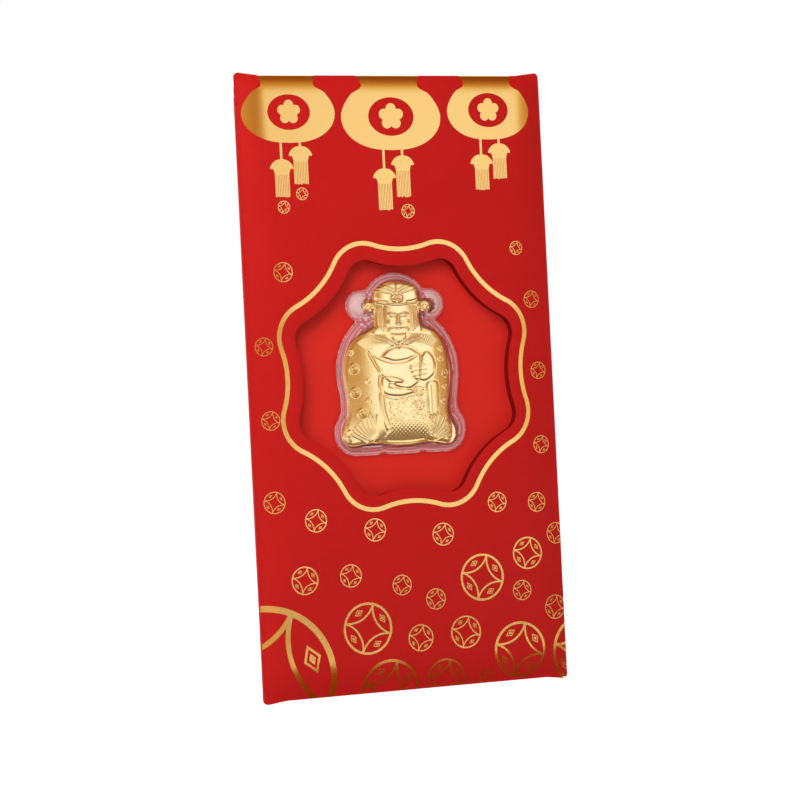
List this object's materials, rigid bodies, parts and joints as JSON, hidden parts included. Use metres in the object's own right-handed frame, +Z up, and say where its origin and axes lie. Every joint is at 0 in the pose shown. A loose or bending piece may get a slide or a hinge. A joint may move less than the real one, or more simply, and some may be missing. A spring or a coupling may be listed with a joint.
{
  "type": "red gift envelope",
  "caption": "Flat red paper gift envelope with a wavy window showing a gold relief in a clear capsule, a money pocket behind it and a closure flap that folds at the top.",
  "frame": {"origin": "middle of the envelope's bottom edge, half way through its depth", "axes": "+X across the envelope to the viewer's right, +Z up from the bottom edge to the top fold, front faces -Y"},
  "size_m": [0.09, 0.006, 0.1697],
  "materials": {
    "red_paper": "satin coated art paper with a fine grain",
    "red_foam": "matt fine-celled foam sheet",
    "red_card": "matt red card",
    "tape": "foam mounting tape",
    "clear_plastic": "clear thermoformed sheet",
    "gold_relief": "embossed gold leaf, bright",
    "gold_foil": "hot-stamped gold foil, satin"
  },
  "bodies": {
    "pouch": {"front_panel": "red_paper", "back_panel": "red_paper", "side_tab_left": "red_paper", "side_tab_right": "red_paper", "spacer_frame": "red_foam", "backing_card": "red_card", "capsule_pad": "tape", "capsule_back": "clear_plastic", "capsule_front": "clear_plastic", "gold_figure": "gold_relief", "window_foil": "gold_foil", "lantern_foils": "gold_foil", "coin_foils": "gold_foil"},
    "flap": {"closure_flap": "red_paper"}
  },
  "joints": [
    {"name": "flap_fold", "type": "hinge", "parent": "pouch", "child": "flap", "pos_m": [0, -0.00093, 0.1683], "axis": [1, 0, 0], "range_deg": [0, 180]}
  ]
}
